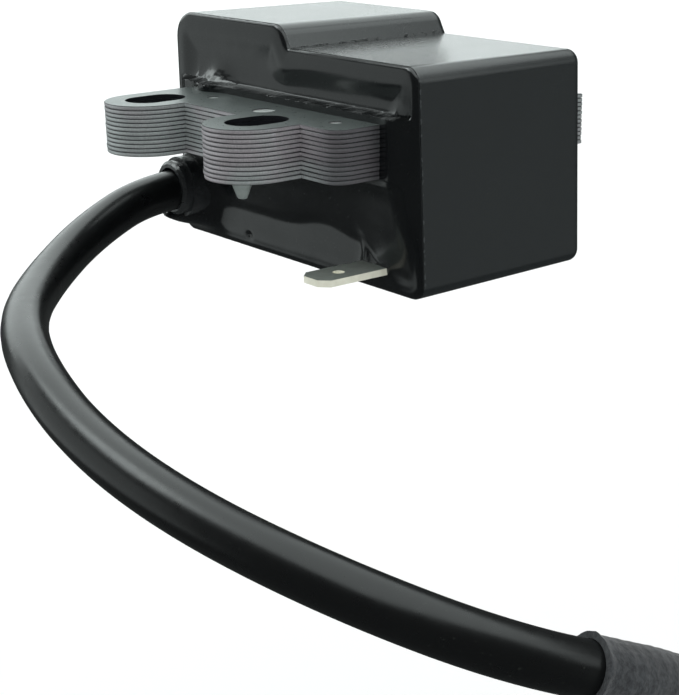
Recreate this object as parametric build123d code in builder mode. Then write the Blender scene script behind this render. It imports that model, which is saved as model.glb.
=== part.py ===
"""Flywheel ignition module of a small two-stroke engine.

A potted coil cup on a riveted stack of twelve core sheets, with a stop tab, a high-tension
lead in a sleeve and a rubber plug boot.  Millimetres, +Z up.  The origin is midway between
the two mounting slots, on the seating face under the core's ears.  The cup's mouth faces -Y
and the pole ends come out of its back, at +Y.
"""
from build123d import *
import math
import os

# ---- core ----------------------------------------------------------------------------------
sheet_count = 12
sheet_thickness = 0.50
varnish_film = 0.015                # between one sheet and the next
sheet_edge_break = 0.07             # rolled-over edge left by the punch
slot_spacing = 22.1                 # between the two mounting slots, along X
slot_width = 5.5                    # for an M5 screw
slot_travel = 2.3                   # how far a screw's centre can move in its slot, along Y
ear_radius = 5.3
ear_root_radius = 1.8
bridge_front_y = 0.9                # front edge of the yoke between the ears
shoulder_front_y = 2.2              # front edge of the yoke right of the right ear
shoulder_length = 6.45              # from the right ear's side to the yoke's right end
shoulder_corner_radius = 2.0
yoke_buried = 1.6                   # how far the yoke's back edge lies inside the cup
coil_leg_width = 7.0                # leg inside the high-tension coil
coil_leg_from_ear = 0.75            # leg's middle, right of the left slot's middle
charge_leg_width = 5.0              # leg inside the charge coil, flush with the yoke's end
pole_protrusion = 4.0               # how far the longest pole corner stands out of the cup
flywheel_radius = 46.0
pole_air_gap = 0.35
small_rivet_diameter = 1.5
left_rivet_from_ear = 4.25          # right of the left slot's middle
right_rivet_from_ear = 7.15         # right of the right slot's middle
small_rivet_y = 5.8
centre_rivet_diameter = 2.7
centre_rivet_from_ear = 5.35        # left of the right slot's middle
centre_rivet_y = 4.7
rivet_sink = 0.12                   # rivet ends lie this far under the stack's faces
rivet_clearance = 0.02
drip_from_ear = 2.6                 # bead of varnish under the right ear's nose
drip_y = -4.1
drip_drop = 1.8
drip_root_radius = 1.4
drip_tip_radius = 0.6
drip_flatness = 0.8                 # its depth over its width
drip_tip_rounding = 0.35
cut_overrun = 1.0                   # cuts run this far past the face they open

# ---- cup -----------------------------------------------------------------------------------
mouth_y = 11.0
cup_depth = 25.4
cup_wall = 1.6
cup_low_top_z = 12.6
cup_draft = 0.8                     # degrees, all round, towards the back
cup_corner_radius = 2.0
cup_back_edge_radius = 1.0
hump_left_radius = 3.4
hump_right_radius = 2.4
smallest_inner_radius = 0.6         # of the corners inside the cup
hump_flank_run = 1.5                # the hump's right flank leans in by this much
right_wall_lean = 0.9               # the right wall leans in towards the top
coil_side_gap = 1.0                 # from the high-tension coil to the cup's left wall
coil_flank_gap = 1.6                # to the foot of the hump's flank
coil_head_gap = 1.3                 # to the roof of the hump
charge_side_gap = 1.15              # from the charge coil to the right wall's foot
tab_floor_gap = 0.85                # from the stop tab to the cup's floor
window_clearance = 0.15             # between a core leg and its window in the cup's back

# ---- coils ---------------------------------------------------------------------------------
bobbin_clearance = 0.3
bobbin_flange = 1.0
winding_gap = 0.02                  # between wire and bobbin
wire_corner = 0.5                   # rounding of a winding's outer corners
coil_setback = 3.2                  # from the cup's mouth to the high-tension coil
coil_back_gap = 1.2                 # from the coil to the cup's back wall
primary_bobbin_wall = 0.8
primary_wire_depth = 1.6
secondary_bobbin_wall = 0.9
secondary_wire_depth = 2.0
secondary_chambers = 5
flange_reach = 0.5                  # flanges stand this far above the wire
nesting_clearance = 0.1             # between the primary wire and the secondary bobbin
charge_coil_setback = 4.0
charge_coil_length = 13.0
charge_bobbin_wall = 0.6
charge_wire_depth = 0.9
charge_flange_reach = 0.15

# ---- electronics: places are from the board's left front corner --------------------------------
board_coil_gap = 3.0                # from the high-tension coil to the board's left edge
board_wall_gap = 1.1                # to the right wall's foot
board_setback = 2.4
board_back_gap = 1.4
board_drop = 6.4                    # from the core's seating face to the board's top
board_thickness = 1.0
board_corner_radius = 0.8
capacitor_size = (11.0, 5.0, 5.0)
capacitor_place = (1.2, 13.2)
thyristor_size = (4.6, 3.6, 4.6)
thyristor_place = (1.8, 3.2)
block_corner_radius = 0.4           # of the capacitor and the thyristor
block_top_chamfer = 0.3
diode_diameter = 2.6
diode_length = 5.2
diode_places = ((9.6, 5.0), (9.6, 8.2), (9.6, 11.4))
resistor_diameter = 1.8
resistor_length = 3.8
axial_end_rounding = 0.15           # of a diode's or resistor's diameter
resistor_places = ((3.0, 8.8), (3.0, 11.2))
strap_width = 2.5
strap_thickness = 0.4
strap_place = (11.6, 1.3)
strap_foot = 2.0

# ---- stop tab ------------------------------------------------------------------------------
tab_width = 4.8
tab_thickness = 0.8
tab_from_yoke_end = 3.0             # the tab's middle, left of the yoke's right end
tab_below_board = 3.25              # from the board's underside to the tab's top
tab_reach = 10.4                    # length in front of the mouth
tab_buried = 5.0
tab_hole_diameter = 1.4
tab_hole_from_end = 4.0
tab_end_chamfer = 1.1

# ---- lead, socket, sleeve ------------------------------------------------------------------
lead_diameter = 5.2
lead_straight_out = 3.0             # from the socket's mouth to the lead's first corner
conductor_diameter = 1.6
conductor_clearance = 0.05
socket_clearance = 0.1              # round the lead
socket_wall = 1.25
collar_wall = 0.85                  # stepped lip at the socket's mouth
collar_length = 1.4
collar_chamfer = 0.4
socket_reach = 6.0                  # length in front of the cup's mouth
socket_buried = 2.6
socket_floor = 1.2
socket_wall_gap = 0.1               # to the cup's left wall
socket_floor_gap = 1.55             # to the cup's floor
contact_pin_diameter = 1.2
contact_head_diameter = 3.0
contact_head_thickness = 0.5
sleeve_clearance = 0.05
sleeve_wall = 0.45

# ---- plug boot -----------------------------------------------------------------------------
boot_wall = 2.8
boot_lip_height = 0.7
boot_lip_length = 3.0
boot_length = 27.0
boot_bore_radius = 5.2
boot_bore_depth = 17.0
boot_cap_rounding = 5.0
boot_neck_wall = 2.1
boot_neck_rounding = 1.0
boot_neck_from_bend = 6.0           # from the lead's last corner down to the neck's mouth
boot_neck_reach = 12.0              # from the barrel's axis to the neck's mouth
boot_neck_from_cap = 8.0            # from the barrel's closed end to the neck's axis
boot_rib_count = 4
boot_rib_width = 1.2
boot_rib_height = 0.5
boot_rib_pitch = 3.3
clip_bore_diameter = 5.9
clip_wall = 0.5
clip_length = 9.0
clip_slit = 1.2
clip_clearance = 0.1
clip_spike_diameter = 1.4

# ---- resin ---------------------------------------------------------------------------------
resin_recess = 0.5                  # resin's free face under the cup's rim
resin_creep = 2.0                   # resin climbs this far out of the mouth along the core
resin_creep_width = 0.9
resin_creep_rounding = 0.7


def grown(size, by):
    """A (width, height) pair, larger by the given amount on every side."""
    return (size[0] + 2 * by, size[1] + 2 * by)


# ---- worked out: core ----------------------------------------------------------------------
sheet_pitch = sheet_thickness + varnish_film
stack_height = sheet_count * sheet_pitch
stack_mid_z = stack_height / 2
left_slot_x = -slot_spacing / 2
right_slot_x = slot_spacing / 2
yoke_left_x = left_slot_x - ear_radius
yoke_right_x = right_slot_x + ear_radius + shoulder_length
yoke_back_y = mouth_y + yoke_buried
coil_leg_x = left_slot_x + coil_leg_from_ear
charge_leg_x = yoke_right_x - charge_leg_width / 2
back_y = mouth_y + cup_depth
back_wall_y = back_y - cup_wall
pole_tip_y = back_y + pole_protrusion
poles_mid_x = (coil_leg_x - coil_leg_width / 2 + yoke_right_x) / 2
pole_half_span = yoke_right_x - poles_mid_x
pole_face_radius = flywheel_radius + pole_air_gap
flywheel_y = pole_tip_y + math.sqrt(pole_face_radius**2 - pole_half_span**2)
small_rivet_places = [
    (left_slot_x + left_rivet_from_ear, small_rivet_y),
    (right_slot_x + right_rivet_from_ear, small_rivet_y),
]
centre_rivet_place = (right_slot_x - centre_rivet_from_ear, centre_rivet_y)

# ---- worked out: coils, as (width, height) pairs seen along a leg ----------------------------
coil_middle = (coil_leg_x, stack_mid_z)
coil_front_y = mouth_y + coil_setback
coil_length = back_wall_y - coil_back_gap - coil_front_y
coil_back_y = coil_front_y + coil_length
primary_hole = grown((coil_leg_width, stack_height), bobbin_clearance)
primary_barrel = grown(primary_hole, primary_bobbin_wall)
primary_wire = grown(primary_barrel, primary_wire_depth)
secondary_hole = grown(primary_wire, nesting_clearance)
secondary_barrel = grown(secondary_hole, secondary_bobbin_wall)
secondary_wire = grown(secondary_barrel, secondary_wire_depth)
secondary_flange = grown(secondary_wire, flange_reach)
charge_middle = (charge_leg_x, stack_mid_z)
charge_front_y = mouth_y + charge_coil_setback
charge_back_y = charge_front_y + charge_coil_length
charge_hole = grown((charge_leg_width, stack_height), bobbin_clearance)
charge_barrel = grown(charge_hole, charge_bobbin_wall)
charge_wire = grown(charge_barrel, charge_wire_depth)
charge_flange = grown(charge_wire, charge_flange_reach)

# ---- worked out: cup, board and tab ----------------------------------------------------------
coil_left_x = coil_leg_x - secondary_flange[0] / 2
coil_right_x = coil_leg_x + secondary_flange[0] / 2
coil_top_z = stack_mid_z + secondary_flange[1] / 2
cup_left_x = coil_left_x - coil_side_gap - cup_wall
hump_right_x = coil_right_x + coil_flank_gap + cup_wall
cup_hump_top_z = coil_top_z + coil_head_gap + cup_wall
cup_right_x = charge_leg_x + charge_flange[0] / 2 + charge_side_gap + cup_wall
board_top_z = -board_drop
board_bottom_z = board_top_z - board_thickness
board_left_x = coil_right_x + board_coil_gap
board_right_x = cup_right_x - cup_wall - board_wall_gap
board_front_y = mouth_y + board_setback
board_back_y = back_wall_y - board_back_gap
tab_x = yoke_right_x - tab_from_yoke_end
tab_top_z = board_bottom_z - tab_below_board
cup_floor_z = tab_top_z - tab_thickness - tab_floor_gap - cup_wall

# ---- worked out: socket ----------------------------------------------------------------------
socket_bore_diameter = lead_diameter + 2 * socket_clearance
socket_diameter = socket_bore_diameter + 2 * socket_wall
collar_diameter = socket_bore_diameter + 2 * collar_wall
socket_x = cup_left_x + cup_wall + socket_wall_gap + socket_diameter / 2
socket_z = cup_floor_z + cup_wall + socket_floor_gap + socket_diameter / 2
socket_mouth_y = mouth_y - socket_reach
socket_back_y = mouth_y + socket_buried
lead_start_y = socket_back_y - socket_floor

mouth = Plane.XZ.offset(-mouth_y)   # its normal points out of the cup, along -Y
board_top = Plane.XY.offset(board_top_z)

os.makedirs("parts", exist_ok=True)


def finish(builder, name):
    """Label a finished piece and write it out."""
    builder.part.label = name
    export_step(builder.part, f"parts/{name}.step")


# ---- core sheets ---------------------------------------------------------------------------
def sheet_face():
    """One core sheet in plan: yoke, two ears with slots, two legs, holes for the rivets."""
    nose_y = -slot_travel / 2
    with BuildSketch() as sheet:
        with BuildLine():
            Polyline(
                (yoke_left_x, nose_y),
                (yoke_left_x, yoke_back_y),
                (coil_leg_x - coil_leg_width / 2, yoke_back_y),
                (coil_leg_x - coil_leg_width / 2, pole_tip_y + cut_overrun),
                (coil_leg_x + coil_leg_width / 2, pole_tip_y + cut_overrun),
                (coil_leg_x + coil_leg_width / 2, yoke_back_y),
                (yoke_right_x - charge_leg_width, yoke_back_y),
                (yoke_right_x - charge_leg_width, pole_tip_y + cut_overrun),
                (yoke_right_x, pole_tip_y + cut_overrun),
                (yoke_right_x, shoulder_front_y),
                (right_slot_x + ear_radius, shoulder_front_y),
                (right_slot_x + ear_radius, nose_y),
                (right_slot_x - ear_radius, nose_y),
                (right_slot_x - ear_radius, bridge_front_y),
                (left_slot_x + ear_radius, bridge_front_y),
                (left_slot_x + ear_radius, nose_y),
                close=True,
            )
        make_face()
        corners = sheet.vertices()
        shoulder = corners.filter_by(lambda v: abs(v.Y - shoulder_front_y) < 0.01)
        bridge = corners.filter_by(lambda v: abs(v.Y - bridge_front_y) < 0.01)
        fillet(shoulder.sort_by(Axis.X)[-1], shoulder_corner_radius)
        fillet(shoulder.sort_by(Axis.X)[0], ear_root_radius)
        fillet(bridge, ear_root_radius)
        with Locations((left_slot_x, nose_y), (right_slot_x, nose_y)):
            Circle(ear_radius)
        with Locations((left_slot_x, 0), (right_slot_x, 0)):
            SlotCenterToCenter(slot_travel, slot_width, rotation=90, mode=Mode.SUBTRACT)
        with Locations((poles_mid_x, flywheel_y)):
            Circle(pole_face_radius, mode=Mode.SUBTRACT)
        with Locations(*small_rivet_places):
            Circle(small_rivet_diameter / 2 + rivet_clearance, mode=Mode.SUBTRACT)
        with Locations(centre_rivet_place):
            Circle(centre_rivet_diameter / 2 + rivet_clearance, mode=Mode.SUBTRACT)
    return sheet.sketch


core_sheet = sheet_face()
for number in range(1, sheet_count + 1):
    with BuildPart() as lamination:
        with BuildSketch(Plane.XY.offset((number - 1) * sheet_pitch)):
            add(core_sheet)
        extrude(amount=sheet_thickness)
        rims = lamination.faces().filter_by(Axis.Z)
        outer_edges = [face.outer_wire().edges() for face in rims]
        chamfer([edge for edges in outer_edges for edge in edges], sheet_edge_break)
    finish(lamination, f"lamination_{number:02d}")

rivet_height = (sheet_count - 1) * sheet_pitch + sheet_thickness - 2 * rivet_sink
with BuildPart() as core_rivets:
    with BuildSketch(Plane.XY.offset(rivet_sink)):
        with Locations(*small_rivet_places):
            Circle(small_rivet_diameter / 2)
    extrude(amount=rivet_height)
finish(core_rivets, "core_rivets")

with BuildPart() as centre_rivet:
    with BuildSketch(Plane.XY.offset(rivet_sink)):
        with Locations(centre_rivet_place):
            Circle(centre_rivet_diameter / 2)
    extrude(amount=rivet_height)
finish(centre_rivet, "centre_rivet")


drip_place = (right_slot_x + drip_from_ear, drip_y)
with BuildPart() as varnish_drip:
    with BuildSketch(Plane.XY.offset(-drip_drop)):
        with Locations(drip_place):
            Ellipse(drip_tip_radius, drip_tip_radius * drip_flatness)
    with BuildSketch(Plane.XY):
        with Locations(drip_place):
            Ellipse(drip_root_radius, drip_root_radius * drip_flatness)
    loft()
    fillet(varnish_drip.faces().sort_by(Axis.Z)[0].edges(), drip_tip_rounding)
finish(varnish_drip, "varnish_drip")


# ---- cup -----------------------------------------------------------------------------------
def cup_section(inset):
    """The cup's section at its mouth, drawn inset millimetres inside the outer skin."""
    low_top = cup_low_top_z - inset
    hump_top = cup_hump_top_z - inset
    floor = cup_floor_z + inset
    right_foot = cup_right_x - inset

    def corner(radius):
        return max(radius - inset, smallest_inner_radius)

    with BuildSketch() as section:
        with BuildLine():
            Polyline(
                (cup_left_x + inset, floor),
                (right_foot, floor),
                (right_foot - right_wall_lean, low_top),
                (hump_right_x - inset, low_top),
                (hump_right_x - hump_flank_run - inset, hump_top),
                (cup_left_x + inset, hump_top),
                close=True,
            )
        make_face()
        floor_corners = section.vertices().group_by(Axis.Y)[0]
        low_top_corners = section.vertices().group_by(Axis.Y)[1].sort_by(Axis.X)
        fillet([*floor_corners, low_top_corners[-1]], corner(cup_corner_radius))
        hump_corners = section.vertices().group_by(Axis.Y)[-1].sort_by(Axis.X)
        fillet(hump_corners[0], corner(hump_left_radius))
        hump_corners = section.vertices().group_by(Axis.Y)[-1].sort_by(Axis.X)
        fillet(hump_corners[-1], corner(hump_right_radius))
    return section.sketch


leg_windows = [
    (coil_leg_x, coil_leg_width),
    (charge_leg_x, charge_leg_width),
]
with BuildPart() as coil_case:
    with BuildSketch(mouth):
        add(cup_section(0))
    extrude(amount=-cup_depth, taper=cup_draft)
    back_rim = coil_case.faces().sort_by(Axis.Y)[-1].edges()
    fillet(back_rim, cup_back_edge_radius)
    with BuildSketch(mouth):
        add(cup_section(cup_wall))
    extrude(amount=-(cup_depth - cup_wall), taper=cup_draft, mode=Mode.SUBTRACT)
    for leg_x, leg_width in leg_windows:
        with BuildSketch(Plane.XZ.offset(-back_y - cut_overrun)):
            with Locations((leg_x, stack_mid_z)):
                Rectangle(leg_width + 2 * window_clearance, stack_height + 2 * window_clearance)
        extrude(amount=cup_wall + 2 * cut_overrun, mode=Mode.SUBTRACT)
finish(coil_case, "coil_case")


# ---- coils ---------------------------------------------------------------------------------
def square_ring(middle, front_y, length, hole, outer, corner=0.0):
    """A square tube round a core leg: hole and outer are its (width, height) inside and out."""
    with BuildPart() as ring:
        with BuildSketch(Plane.XZ.offset(-front_y)):
            with Locations(middle):
                if corner:
                    RectangleRounded(*outer, corner)
                else:
                    Rectangle(*outer)
                Rectangle(*hole, mode=Mode.SUBTRACT)
        extrude(amount=-length)
    return ring.part


with BuildPart() as primary_bobbin:
    add(square_ring(coil_middle, coil_front_y, coil_length, primary_hole, primary_barrel))
    for flange_y in (coil_front_y, coil_back_y - bobbin_flange):
        add(square_ring(coil_middle, flange_y, bobbin_flange, primary_hole, primary_wire))
finish(primary_bobbin, "primary_bobbin")

with BuildPart() as primary_winding:
    wound_front_y = coil_front_y + bobbin_flange + winding_gap
    wound_length = coil_length - 2 * bobbin_flange - 2 * winding_gap
    inner = grown(primary_barrel, winding_gap)
    add(square_ring(coil_middle, wound_front_y, wound_length, inner, primary_wire, wire_corner))
finish(primary_winding, "primary_winding")

chamber_pitch = (coil_length - bobbin_flange) / secondary_chambers
with BuildPart() as secondary_bobbin:
    add(square_ring(coil_middle, coil_front_y, coil_length, secondary_hole, secondary_barrel))
    for chamber in range(secondary_chambers + 1):
        flange_y = coil_front_y + chamber * chamber_pitch
        add(square_ring(coil_middle, flange_y, bobbin_flange, secondary_hole, secondary_flange))
finish(secondary_bobbin, "secondary_bobbin")

with BuildPart() as secondary_winding:
    for chamber in range(secondary_chambers):
        wound_front_y = coil_front_y + chamber * chamber_pitch + bobbin_flange + winding_gap
        wound_length = chamber_pitch - bobbin_flange - 2 * winding_gap
        inner = grown(secondary_barrel, winding_gap)
        add(square_ring(coil_middle, wound_front_y, wound_length, inner, secondary_wire, wire_corner))
finish(secondary_winding, "secondary_winding")

with BuildPart() as charge_bobbin:
    add(square_ring(charge_middle, charge_front_y, charge_coil_length, charge_hole, charge_barrel))
    for flange_y in (charge_front_y, charge_back_y - bobbin_flange):
        add(square_ring(charge_middle, flange_y, bobbin_flange, charge_hole, charge_flange))
finish(charge_bobbin, "charge_bobbin")

with BuildPart() as charge_winding:
    wound_front_y = charge_front_y + bobbin_flange + winding_gap
    wound_length = charge_coil_length - 2 * bobbin_flange - 2 * winding_gap
    inner = grown(charge_barrel, winding_gap)
    add(square_ring(charge_middle, wound_front_y, wound_length, inner, charge_wire, wire_corner))
finish(charge_winding, "charge_winding")


# ---- electronics ---------------------------------------------------------------------------
with BuildPart() as circuit_board:
    with BuildSketch(board_top):
        with Locations(((board_left_x + board_right_x) / 2, (board_front_y + board_back_y) / 2)):
            Rectangle(board_right_x - board_left_x, board_back_y - board_front_y)
    extrude(amount=-board_thickness)
    fillet(circuit_board.edges().filter_by(Axis.Z), board_corner_radius)
finish(circuit_board, "circuit_board")


def block_on_board(place, size):
    """A box-shaped component standing on the board, placed by its left front corner."""
    width, depth, height = size
    middle_x = board_left_x + place[0] + width / 2
    middle_y = board_front_y + place[1] + depth / 2
    with BuildPart() as block:
        with BuildSketch(board_top):
            with Locations((middle_x, middle_y)):
                Rectangle(width, depth)
        extrude(amount=height)
        fillet(block.edges().filter_by(Axis.Z), block_corner_radius)
        chamfer(block.faces().sort_by(Axis.Z)[-1].edges(), block_top_chamfer)
    return block.part


with BuildPart() as storage_capacitor:
    add(block_on_board(capacitor_place, capacitor_size))
finish(storage_capacitor, "storage_capacitor")

with BuildPart() as thyristor:
    add(block_on_board(thyristor_place, thyristor_size))
finish(thyristor, "thyristor")


def axial_parts(places, diameter, length):
    """Small cylinders lying along X on the board, one with its middle at each place."""
    with BuildPart() as group:
        for x, y in places:
            with BuildSketch(Plane.YZ.offset(board_left_x + x - length / 2)):
                with Locations((board_front_y + y, board_top_z + diameter / 2)):
                    Circle(diameter / 2)
            extrude(amount=length)
        fillet(group.edges().filter_by(GeomType.CIRCLE), diameter * axial_end_rounding)
    return group.part


with BuildPart() as diodes:
    add(axial_parts(diode_places, diode_diameter, diode_length))
finish(diodes, "diodes")

with BuildPart() as resistors:
    add(axial_parts(resistor_places, resistor_diameter, resistor_length))
finish(resistors, "resistors")

with BuildPart() as stop_tab:
    tab_end_y = mouth_y - tab_reach
    tab_root_y = mouth_y + tab_buried
    with BuildSketch(Plane.XY.offset(tab_top_z)):
        with Locations((tab_x, (tab_end_y + tab_root_y) / 2)):
            Rectangle(tab_width, tab_root_y - tab_end_y)
    extrude(amount=-tab_thickness)
    tip_corners = stop_tab.edges().filter_by(Axis.Z).group_by(Axis.Y)[0]
    chamfer(tip_corners, tab_end_chamfer)
    with BuildSketch(Plane.XY.offset(tab_top_z)):
        with Locations((tab_x, tab_end_y + tab_hole_from_end)):
            Circle(tab_hole_diameter / 2)
    extrude(amount=-tab_thickness, mode=Mode.SUBTRACT)
    with BuildSketch(Plane.XY.offset(tab_top_z)):
        with Locations((tab_x, tab_root_y - tab_thickness / 2)):
            Rectangle(tab_width, tab_thickness)
    extrude(amount=board_bottom_z - tab_top_z)
finish(stop_tab, "stop_tab")

with BuildPart() as earth_strap:
    strap_x = board_left_x + strap_place[0]
    strap_y = board_front_y + strap_place[1]
    with BuildSketch(board_top):
        with Locations((strap_x, strap_y)):
            Rectangle(strap_width, strap_thickness)
    extrude(amount=-board_top_z)
    with BuildSketch(board_top):
        with Locations((strap_x, strap_y + strap_foot / 2)):
            Rectangle(strap_width, strap_foot)
    extrude(amount=strap_thickness)
finish(earth_strap, "earth_strap")


# ---- lead socket ---------------------------------------------------------------------------
def at_y(y):
    """A plane across the socket and the lead where it is straight, facing out of the cup."""
    return Plane((socket_x, y, socket_z), x_dir=(1, 0, 0), z_dir=(0, -1, 0))


with BuildPart() as lead_socket:
    with BuildSketch(at_y(socket_back_y)):
        Circle(socket_diameter / 2)
    extrude(amount=socket_back_y - socket_mouth_y - collar_length)
    with BuildSketch(at_y(socket_mouth_y + collar_length)):
        Circle(collar_diameter / 2)
    extrude(amount=collar_length)
    with BuildSketch(at_y(lead_start_y)):
        Circle(socket_bore_diameter / 2)
    extrude(amount=lead_start_y - socket_mouth_y, mode=Mode.SUBTRACT)
    with BuildSketch(at_y(socket_back_y)):
        Circle(contact_pin_diameter / 2)
    extrude(amount=socket_floor, mode=Mode.SUBTRACT)
    mouth_rim = lead_socket.faces().sort_by(Axis.Y)[0].edges()
    chamfer(mouth_rim.sort_by(SortBy.RADIUS)[-1], collar_chamfer)
finish(lead_socket, "lead_socket")

with BuildPart() as ht_contact:
    with BuildSketch(at_y(socket_back_y)):
        Circle(contact_pin_diameter / 2)
    extrude(amount=socket_floor)
    with BuildSketch(at_y(socket_back_y + contact_head_thickness)):
        Circle(contact_head_diameter / 2)
    extrude(amount=contact_head_thickness)
finish(ht_contact, "ht_contact")


# ---- high-tension lead ---------------------------------------------------------------------
# The lead leaves the socket along -Y, swings round in front of the cup and hangs down on the
# right, where its last run drops straight into the boot's neck.
lead_route = [
    (socket_x, lead_start_y, socket_z),
    (socket_x, socket_mouth_y - lead_straight_out, socket_z),
    (-14.0, -8.5, -9.2),
    (-6.3, -19.0, -11.9),
    (5.2, -28.3, -13.2),
    (18.0, -33.5, -14.5),
    (32.0, -35.5, -17.5),
    (47.5, -34.5, -20.0),
    (63.5, -29.5, -23.0),
    (74.0, -19.0, -28.5),
    (77.5, -5.0, -34.5),
    (76.0, 8.5, -43.0),
    (72.0, 19.0, -54.0),
    (68.5, 26.0, -66.0),
    (67.0, 29.0, -78.0),
    (67.0, 29.0, -90.5),
]
sleeve_from_run = 10                # the sleeve starts halfway along this run of the route


def bend_radii(route):
    """One radius for each corner: as large as the shorter of its two runs allows."""
    radii = []
    for before, corner, after in zip(route, route[1:], route[2:]):
        run_in = Vector(*corner) - Vector(*before)
        run_out = Vector(*after) - Vector(*corner)
        turn = math.radians(run_in.get_angle(run_out))
        radii.append(0.45 * min(run_in.length, run_out.length) / math.tan(turn / 2))
    return radii


def swept_tube(route, radii, outer, hole=0.0):
    """A round tube or rod along straight runs joined by tangent arcs."""
    with BuildPart() as tube:
        with BuildLine() as path:
            FilletPolyline(*route, radius=radii)
        start = Plane(path.wire() @ 0, z_dir=path.wire() % 0)
        with BuildSketch(start):
            Circle(outer / 2)
            if hole:
                Circle(hole / 2, mode=Mode.SUBTRACT)
        sweep(path=path.wire())
    area = math.pi * (outer**2 - hole**2) / 4
    print(f"   volume {tube.part.volume:.1f}, section times length {area * path.wire().length:.1f},"
          f" length {path.wire().length:.1f}")
    return tube.part


lead_radii = bend_radii(lead_route)
print("lead bend radii:", [round(radius, 1) for radius in lead_radii])
conductor_hole = conductor_diameter + 2 * conductor_clearance
with BuildPart() as ht_lead:
    add(swept_tube(lead_route, lead_radii, lead_diameter, conductor_hole))
finish(ht_lead, "ht_lead")

with BuildPart() as lead_conductor:
    add(swept_tube(lead_route, lead_radii, conductor_diameter))
finish(lead_conductor, "lead_conductor")

# The sleeve follows the same runs and arcs, from halfway along one run to the boot's neck.
run_start = Vector(*lead_route[sleeve_from_run - 1])
run_end = Vector(*lead_route[sleeve_from_run])
neck_mouth_z = lead_route[-2][2] - boot_neck_from_bend
sleeve_route = [
    tuple((run_start + run_end) * 0.5),
    *lead_route[sleeve_from_run:-1],
    (lead_route[-1][0], lead_route[-1][1], neck_mouth_z),
]
sleeve_hole = lead_diameter + 2 * sleeve_clearance
sleeve_diameter = sleeve_hole + 2 * sleeve_wall
with BuildPart() as lead_sleeve:
    sleeve_radii = lead_radii[sleeve_from_run - 1:]
    add(swept_tube(sleeve_route, sleeve_radii, sleeve_diameter, sleeve_hole))
finish(lead_sleeve, "lead_sleeve")


# ---- plug boot -----------------------------------------------------------------------------
# An elbow: the lead drops into the neck, and the barrel lies along X with its mouth to -X.
neck_x = lead_route[-1][0]
neck_y = lead_route[-1][1]
barrel_z = neck_mouth_z - boot_neck_reach
cap_x = neck_x + boot_neck_from_cap
boot_mouth_x = cap_x - boot_length
lead_end_z = lead_route[-1][2]


def across_barrel(x):
    """A plane across the barrel at the given x, facing out of its mouth."""
    return Plane((x, neck_y, barrel_z), x_dir=(0, 1, 0), z_dir=(-1, 0, 0))


def across_neck(z):
    """A plane across the boot's neck at the given z, facing up."""
    return Plane((neck_x, neck_y, z), x_dir=(1, 0, 0), z_dir=(0, 0, 1))


boot_diameter = 2 * (boot_bore_radius + boot_wall)
neck_diameter = sleeve_diameter + 2 * boot_neck_wall
clip_diameter = clip_bore_diameter + 2 * clip_wall
clip_back_x = boot_mouth_x + boot_bore_depth + clip_length
with BuildPart() as plug_boot:
    with BuildSketch(across_barrel(cap_x)):
        Circle(boot_diameter / 2)
    extrude(amount=boot_length)
    fillet(plug_boot.faces().sort_by(Axis.X)[-1].edges(), boot_cap_rounding)
    with BuildSketch(across_barrel(boot_mouth_x + boot_lip_length)):
        Circle(boot_diameter / 2 + boot_lip_height)
    extrude(amount=boot_lip_length)
    fillet(plug_boot.faces().sort_by(Axis.X)[0].edges(), boot_lip_height)
    for rib in range(boot_rib_count):
        rib_x = boot_mouth_x + boot_lip_length + (rib + 1) * boot_rib_pitch
        with BuildSketch(across_barrel(rib_x)):
            Circle(boot_diameter / 2 + boot_rib_height)
        extrude(amount=boot_rib_width)
    with BuildSketch(across_neck(barrel_z)):
        Circle(neck_diameter / 2)
    extrude(amount=boot_neck_reach)
    fillet(plug_boot.faces().sort_by(Axis.Z)[-1].edges(), boot_neck_rounding)
    with BuildSketch(across_barrel(boot_mouth_x + boot_bore_depth)):
        Circle(boot_bore_radius)
    extrude(amount=boot_bore_depth, mode=Mode.SUBTRACT)
    with BuildSketch(across_barrel(clip_back_x)):
        Circle(clip_diameter / 2 + clip_clearance)
    extrude(amount=clip_length, mode=Mode.SUBTRACT)
    with BuildSketch(across_neck(lead_end_z)):
        Circle(sleeve_hole / 2)
    extrude(amount=neck_mouth_z - lead_end_z, mode=Mode.SUBTRACT)
    with BuildSketch(across_neck(barrel_z)):
        Circle(clip_spike_diameter / 2 + clip_clearance)
    extrude(amount=lead_end_z - barrel_z, mode=Mode.SUBTRACT)
finish(plug_boot, "plug_boot")

# The clip is a split tube; a spike on its back runs up into the end of the lead.
clip_skin_z = barrel_z + clip_bore_diameter / 2 + clip_wall / 2
with BuildPart() as plug_clip:
    with BuildSketch(across_barrel(clip_back_x)):
        Circle(clip_diameter / 2)
        Circle(clip_bore_diameter / 2, mode=Mode.SUBTRACT)
    extrude(amount=clip_length)
    with BuildSketch(across_neck(clip_skin_z)):
        Circle(clip_spike_diameter / 2)
    extrude(amount=lead_end_z - clip_skin_z)
    with BuildSketch(Plane.XY.offset(barrel_z - clip_diameter / 2 - clip_wall)):
        with Locations((clip_back_x - clip_length / 2, neck_y)):
            Rectangle(clip_length, clip_slit)
    extrude(amount=2 * clip_wall + cut_overrun, mode=Mode.SUBTRACT)
finish(plug_clip, "plug_clip")


# ---- resin ---------------------------------------------------------------------------------
# Poured into the cup round everything in it, and creeping a little way out along the core.
def block(low, high):
    """A plain box between two opposite corners."""
    with BuildPart() as box:
        with BuildSketch(Plane.XY.offset(low[2])):
            with Locations(((low[0] + high[0]) / 2, (low[1] + high[1]) / 2)):
                Rectangle(high[0] - low[0], high[1] - low[1])
        extrude(amount=high[2] - low[2])
    return box.part


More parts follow.
